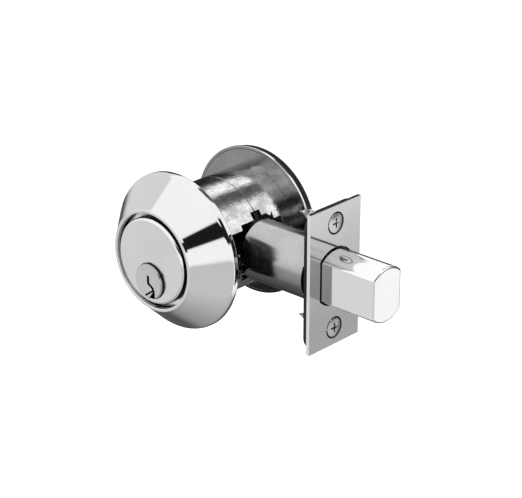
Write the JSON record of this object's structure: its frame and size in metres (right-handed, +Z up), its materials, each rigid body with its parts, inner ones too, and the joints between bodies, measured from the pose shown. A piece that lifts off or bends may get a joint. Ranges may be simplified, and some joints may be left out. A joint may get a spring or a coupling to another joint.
{
  "type": "tubular deadbolt lock",
  "caption": "Single-cylinder tubular deadbolt with a tapered free-turning collar, keyed cylinder, split sleeve, bolt tube with faceplate, round rose and thumbturn.",
  "frame": {"origin": "where the main cylinder's axis crosses the bolt's axis, inside the door's large bore", "axes": "+Y through the door from the keyed outside to the thumbturn inside, +X towards the door's edge along the bolt, +Z up"},
  "size_m": [0.1175, 0.0813, 0.0636],
  "materials": {
    "polished_chrome": "polished",
    "cast_housing": "satin as-cast",
    "plated_steel": "satin plated",
    "hardened_steel": "dark hardened",
    "brass": "machined",
    "nylon": "natural"
  },
  "bodies": {
    "lock": {"cylinder_shell": "polished_chrome", "mounting_plate": "polished_chrome", "inside_rose": "polished_chrome", "face_plate": "polished_chrome", "outer_housing": "cast_housing", "inner_housing": "cast_housing", "chamber_cover": "brass", "turn_washer": "nylon", "collar_spring": "plated_steel", "driver_pin_1": "plated_steel", "driver_pin_2": "plated_steel", "driver_pin_3": "plated_steel", "driver_pin_4": "plated_steel", "driver_pin_5": "plated_steel", "pin_spring_1": "plated_steel", "pin_spring_2": "plated_steel", "pin_spring_3": "plated_steel", "pin_spring_4": "plated_steel", "pin_spring_5": "plated_steel", "cylinder_screw_left": "plated_steel", "cylinder_screw_right": "plated_steel", "mounting_screw_upper": "plated_steel", "mounting_screw_lower": "plated_steel", "bolt_tube": "plated_steel", "tube_end_cap": "plated_steel", "case_side_out": "plated_steel", "case_side_in": "plated_steel", "case_rivet_rear": "plated_steel", "case_rivet_front": "plated_steel", "back_plate": "plated_steel", "face_screw_lower": "plated_steel", "face_screw_upper": "plated_steel"},
    "collar": {"collar": "polished_chrome", "collar_insert": "hardened_steel"},
    "plug": {"plug": "polished_chrome", "plug_retainer": "plated_steel", "key_pin_1": "brass", "key_pin_2": "brass", "key_pin_3": "brass", "key_pin_4": "brass", "key_pin_5": "brass"},
    "turn": {"thumbturn": "polished_chrome", "turn_spindle": "plated_steel", "turn_set_screw": "hardened_steel", "spindle_clip": "plated_steel", "tailpiece": "plated_steel", "cam": "plated_steel"},
    "bolt": {"bolt": "polished_chrome", "bolt_tail": "plated_steel", "bolt_pin": "plated_steel", "bolt_roller": "hardened_steel"}
  },
  "joints": [
    {"name": "turn_rotate", "type": "hinge", "parent": "lock", "child": "turn", "pos_m": [0, 0, -0.008], "axis": [0, -1, 0], "range_deg": [0, 90]},
    {"name": "bolt_slide", "type": "slide", "parent": "lock", "child": "bolt", "axis": [1, 0, 0], "range_m": [-0.0254, 0]},
    {"name": "plug_turn", "type": "hinge", "parent": "lock", "child": "plug", "pos_m": [0, 0, -0.008], "axis": [0, 1, 0], "range_deg": [-90, 90]},
    {"name": "collar_spin", "type": "hinge", "parent": "lock", "child": "collar", "pos_m": [0, 0, 0], "axis": [0, 1, 0], "continuous": true}
  ],
  "couplings": [
    {"joint": "turn_rotate", "follows": "bolt_slide", "rad_per_m": -61.84}
  ]
}
